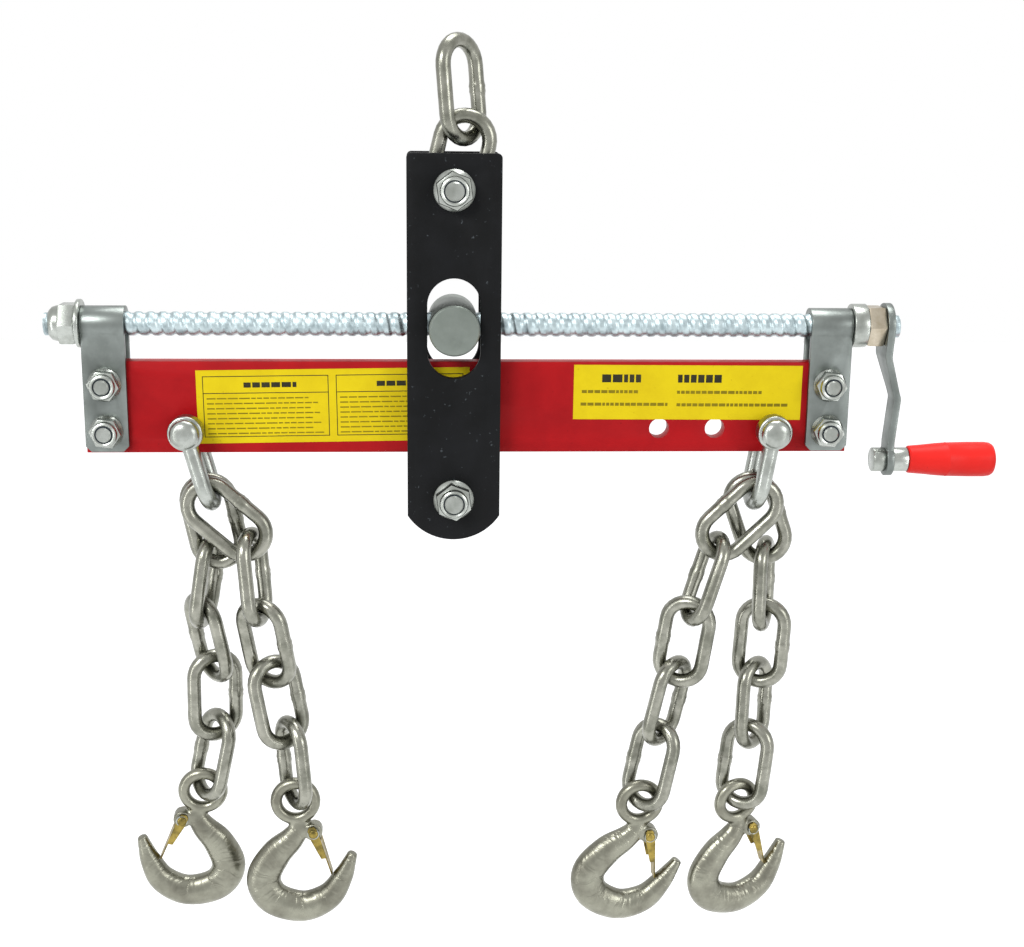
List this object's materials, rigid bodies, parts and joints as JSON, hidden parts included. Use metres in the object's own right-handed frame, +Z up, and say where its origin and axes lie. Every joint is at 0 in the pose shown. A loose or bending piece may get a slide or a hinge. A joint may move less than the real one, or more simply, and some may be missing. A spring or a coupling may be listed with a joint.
{
  "type": "engine load leveler",
  "caption": "Load leveler for lifting engines: a flat bar under a crank-driven lead screw, a slotted plate hanger that travels along it, and chains with sprung-latch hooks.",
  "frame": {"origin": "inside top of the lifting link, where a crane hook carries the tool", "axes": "+X along the bar towards the crank, +Y from the front of the bar to its back, +Z up"},
  "size_m": [0.5218, 0.0598, 0.5134],
  "materials": {
    "red_paint": "gloss red enamel",
    "black_plate": "satin black coating",
    "link_zinc": "zinc plated, satin",
    "shackle_zinc": "zinc plated, satin",
    "zinc": "zinc plated, satin",
    "nut_yellow_zinc": "yellow passivated zinc",
    "turned_steel": "turned, zinc plated",
    "screw_steel": "rolled thread, bright zinc",
    "strap_steel": "bent strap, dull zinc",
    "forged_hook": "drop forged, zinc plated, rippled",
    "latch_steel": "folded sheet, yellow passivated",
    "red_grip": "gloss red plastic"
  },
  "bodies": {
    "lifting_link": {"lifting_link": "link_zinc"},
    "hanger_link": {"hanger_link": "link_zinc"},
    "hanger": {"front_plate": "black_plate", "rear_plate": "black_plate", "top_bolt": "zinc", "bottom_bolt": "zinc", "plate_nuts": "zinc", "top_sleeve": "zinc"},
    "roller": {"roller": "zinc"},
    "trunnion": {"trunnion_nut": "turned_steel"},
    "bar": {"beam": "red_paint", "bracket_left": "strap_steel", "bracket_right": "strap_steel", "bracket_bolts": "zinc", "bracket_nuts": "zinc"},
    "screw": {"lead_screw": "screw_steel", "end_washer": "zinc", "end_nut": "zinc", "screw_collar": "zinc", "crank_nut": "nut_yellow_zinc", "crank_arm": "strap_steel", "grip_pin": "zinc"},
    "grip": {"grip": "red_grip"},
    "shackle_left": {"shackle_left": "shackle_zinc", "shackle_pin_left": "zinc"},
    "shackle_right": {"shackle_right": "shackle_zinc", "shackle_pin_right": "zinc"},
    "chain_a_1": {"chain_a_1": "link_zinc"},
    "chain_a_2": {"chain_a_2": "link_zinc"},
    "chain_a_3": {"chain_a_3": "link_zinc"},
    "chain_a_4": {"chain_a_4": "link_zinc"},
    "chain_a_5": {"chain_a_5": "link_zinc"},
    "hook_a": {"hook_a": "forged_hook"},
    "latch_a": {"latch_a": "latch_steel"},
    "chain_b_1": {"chain_b_1": "link_zinc"},
    "chain_b_2": {"chain_b_2": "link_zinc"},
    "chain_b_3": {"chain_b_3": "link_zinc"},
    "chain_b_4": {"chain_b_4": "link_zinc"},
    "chain_b_5": {"chain_b_5": "link_zinc"},
    "hook_b": {"hook_b": "forged_hook"},
    "latch_b": {"latch_b": "latch_steel"},
    "chain_c_1": {"chain_c_1": "link_zinc"},
    "chain_c_2": {"chain_c_2": "link_zinc"},
    "chain_c_3": {"chain_c_3": "link_zinc"},
    "chain_c_4": {"chain_c_4": "link_zinc"},
    "chain_c_5": {"chain_c_5": "link_zinc"},
    "hook_c": {"hook_c": "forged_hook"},
    "latch_c": {"latch_c": "latch_steel"},
    "chain_d_1": {"chain_d_1": "link_zinc"},
    "chain_d_2": {"chain_d_2": "link_zinc"},
    "chain_d_3": {"chain_d_3": "link_zinc"},
    "chain_d_4": {"chain_d_4": "link_zinc"},
    "chain_d_5": {"chain_d_5": "link_zinc"},
    "hook_d": {"hook_d": "forged_hook"},
    "latch_d": {"latch_d": "latch_steel"}
  },
  "joints": [
    {"name": "link_swing", "type": "hinge", "parent": "lifting_link", "child": "hanger_link", "pos_m": [0.01003, 0.00735, -0.04125], "axis": [0.3702, 0.482, 0.7941], "range_deg": [-15, 0]},
    {"name": "hanger_swing", "type": "hinge", "parent": "hanger_link", "child": "hanger", "pos_m": [-0.00212, 0, -0.07231], "axis": [0, 1, 0], "range_deg": [-20, 20]},
    {"name": "roller_turn", "type": "hinge", "parent": "hanger", "child": "roller", "pos_m": [-0.00212, 0, -0.23831], "axis": [0, 1, 0], "continuous": true},
    {"name": "bar_tilt", "type": "hinge", "parent": "hanger", "child": "trunnion", "pos_m": [-0.00212, 0, -0.14481], "axis": [0, 1, 0], "range_deg": [-25, 25]},
    {"name": "bar_travel", "type": "slide", "parent": "trunnion", "child": "bar", "axis": [1, 0, 0], "range_m": [-0.1, 0.066]},
    {"name": "screw_turn", "type": "hinge", "parent": "bar", "child": "screw", "pos_m": [-0.00212, 0, -0.14481], "axis": [1, 0, 0], "range_deg": [-5578, 3695]},
    {"name": "grip_turn", "type": "hinge", "parent": "screw", "child": "grip", "pos_m": [0.25308, 0, -0.22031], "axis": [1, 0, 0], "continuous": true},
    {"name": "shackle_left_swing", "type": "hinge", "parent": "bar", "child": "shackle_left", "pos_m": [-0.14562, 0, -0.20151], "axis": [0, 1, 0], "range_deg": [-30, 10]},
    {"name": "shackle_right_swing", "type": "hinge", "parent": "bar", "child": "shackle_right", "pos_m": [0.17338, 0, -0.20151], "axis": [0, 1, 0], "range_deg": [-15, 30]},
    {"name": "chain_a_1_swing", "type": "hinge", "parent": "shackle_left", "child": "chain_a_1", "pos_m": [-0.13464, -0.0055, -0.24248], "axis": [0, 1, 0], "range_deg": [-12, 0]},
    {"name": "chain_a_2_swing", "type": "hinge", "parent": "chain_a_1", "child": "chain_a_2", "pos_m": [-0.10523, -0.00714, -0.26192], "axis": [0.168, 0.0421, 0.9849], "range_deg": [-15, 6]},
    {"name": "chain_a_3_swing", "type": "hinge", "parent": "chain_a_2", "child": "chain_a_3", "pos_m": [-0.10955, -0.01084, -0.30841], "axis": [0.2799, 0.9592, -0.039], "range_deg": [-15, 6]},
    {"name": "chain_a_4_swing", "type": "hinge", "parent": "chain_a_3", "child": "chain_a_4", "pos_m": [-0.11295, -0.00017, -0.34278], "axis": [0.6031, -0.1358, -0.786], "range_deg": [-15, 6]},
    {"name": "chain_a_5_swing", "type": "hinge", "parent": "chain_a_4", "child": "chain_a_5", "pos_m": [-0.08817, 0.00089, -0.37525], "axis": [0.2016, 0.226, 0.953], "range_deg": [-12, 12]},
    {"name": "hook_a_swing", "type": "hinge", "parent": "chain_a_5", "child": "hook_a", "pos_m": [-0.0972, 0.00428, -0.41522], "axis": [0.3007, -0.421, -0.8558], "range_deg": [-15, 6]},
    {"name": "latch_a_open", "type": "hinge", "parent": "hook_a", "child": "latch_a", "pos_m": [-0.08237, -0.00278, -0.4398], "axis": [0, 1, 0], "range_deg": [0, 40], "stiffness_Nm_per_rad": 0.02, "springref_deg": -20.05},
    {"name": "chain_b_1_swing", "type": "hinge", "parent": "shackle_left", "child": "chain_b_1", "pos_m": [-0.13464, 0.0055, -0.24248], "axis": [0, 1, 0], "range_deg": [0, 12]},
    {"name": "chain_b_2_swing", "type": "hinge", "parent": "chain_b_1", "child": "chain_b_2", "pos_m": [-0.14501, 0.00559, -0.26825], "axis": [0.1907, 0.0349, -0.981], "range_deg": [-12, 12]},
    {"name": "chain_b_3_swing", "type": "hinge", "parent": "chain_b_2", "child": "chain_b_3", "pos_m": [-0.14496, -0.00449, -0.30879], "axis": [0.0155, 0.555, -0.8317], "range_deg": [-15, 6]},
    {"name": "chain_b_4_swing", "type": "hinge", "parent": "chain_b_3", "child": "chain_b_4", "pos_m": [-0.14555, 0.01995, -0.34119], "axis": [0.3586, -0.1111, -0.9269], "range_deg": [-12, 12]},
    {"name": "chain_b_5_swing", "type": "hinge", "parent": "chain_b_4", "child": "chain_b_5", "pos_m": [-0.12911, 0.01906, -0.38035], "axis": [0.4557, 0.1716, 0.8734], "range_deg": [-12, 12]},
    {"name": "hook_b_swing", "type": "hinge", "parent": "chain_b_5", "child": "hook_b", "pos_m": [-0.1518, 0.02237, -0.41579], "axis": [0.1213, -0.3972, -0.9097], "range_deg": [-15, 6]},
    {"name": "latch_b_open", "type": "hinge", "parent": "hook_b", "child": "latch_b", "pos_m": [-0.16048, 0.01642, -0.43945], "axis": [0.0576, -0.9962, -0.0654], "range_deg": [0, 40], "stiffness_Nm_per_rad": 0.02, "springref_deg": -20.05},
    {"name": "chain_c_1_swing", "type": "hinge", "parent": "shackle_right", "child": "chain_c_1", "pos_m": [0.16675, -0.0055, -0.24341], "axis": [0, 1, 0], "range_deg": [0, 12]},
    {"name": "chain_c_2_swing", "type": "hinge", "parent": "chain_c_1", "child": "chain_c_2", "pos_m": [0.14209, -0.00615, -0.27089], "axis": [0.7837, -0.015, -0.6209], "range_deg": [-12, 12]},
    {"name": "chain_c_3_swing", "type": "hinge", "parent": "chain_c_2", "child": "chain_c_3", "pos_m": [0.13106, -0.00368, -0.3072], "axis": [0.0556, 0.809, 0.5851], "range_deg": [0, 12]},
    {"name": "chain_c_4_swing", "type": "hinge", "parent": "chain_c_3", "child": "chain_c_4", "pos_m": [0.11741, -0.00234, -0.34137], "axis": [0.3756, -0.1012, -0.9212], "range_deg": [-12, 12]},
    {"name": "chain_c_5_swing", "type": "hinge", "parent": "chain_c_4", "child": "chain_c_5", "pos_m": [0.11761, -0.0027, -0.38554], "axis": [0.7049, 0.7092, 0.0098], "range_deg": [-12, 12]},
    {"name": "hook_c_swing", "type": "hinge", "parent": "chain_c_5", "child": "hook_c", "pos_m": [0.11404, -0.01165, -0.4227], "axis": [0.7013, -0.4966, 0.5114], "range_deg": [0, 12]},
    {"name": "latch_c_open", "type": "hinge", "parent": "hook_c", "child": "latch_c", "pos_m": [0.1131, -0.00413, -0.44434], "axis": [-0.1157, 0.9919, 0.0517], "range_deg": [0, 40], "stiffness_Nm_per_rad": 0.02, "springref_deg": -20.05},
    {"name": "chain_d_1_swing", "type": "hinge", "parent": "shackle_right", "child": "chain_d_1", "pos_m": [0.16675, 0.0055, -0.24341], "axis": [0, 1, 0], "range_deg": [-12, 0]},
    {"name": "chain_d_2_swing", "type": "hinge", "parent": "chain_d_1", "child": "chain_d_2", "pos_m": [0.18186, 0.00535, -0.27721], "axis": [0.8358, -0.051, 0.5467], "range_deg": [-12, 12]},
    {"name": "chain_d_3_swing", "type": "hinge", "parent": "chain_d_2", "child": "chain_d_3", "pos_m": [0.18107, 0.01547, -0.30992], "axis": [0.1019, 0.2736, 0.9564], "range_deg": [-12, 12]},
    {"name": "chain_d_4_swing", "type": "hinge", "parent": "chain_d_3", "child": "chain_d_4", "pos_m": [0.16721, 0.01382, -0.34937], "axis": [0.4457, -0.128, -0.886], "range_deg": [-12, 12]},
    {"name": "chain_d_5_swing", "type": "hinge", "parent": "chain_d_4", "child": "chain_d_5", "pos_m": [0.16649, 0.00045, -0.38314], "axis": [0.1321, 0.1042, -0.9858], "range_deg": [-12, 12]},
    {"name": "hook_d_swing", "type": "hinge", "parent": "chain_d_5", "child": "hook_d", "pos_m": [0.17415, 0.001, -0.42824], "axis": [0.7637, -0.4048, 0.5029], "range_deg": [0, 12]},
    {"name": "latch_d_open", "type": "hinge", "parent": "hook_d", "child": "latch_d", "pos_m": [0.1765, 0.00976, -0.4472], "axis": [-0.299, 0.9511, 0.0778], "range_deg": [0, 40], "stiffness_Nm_per_rad": 0.02, "springref_deg": -20.05}
  ],
  "couplings": [
    {"joint": "screw_turn", "follows": "bar_travel", "rad_per_m": 966.64}
  ]
}
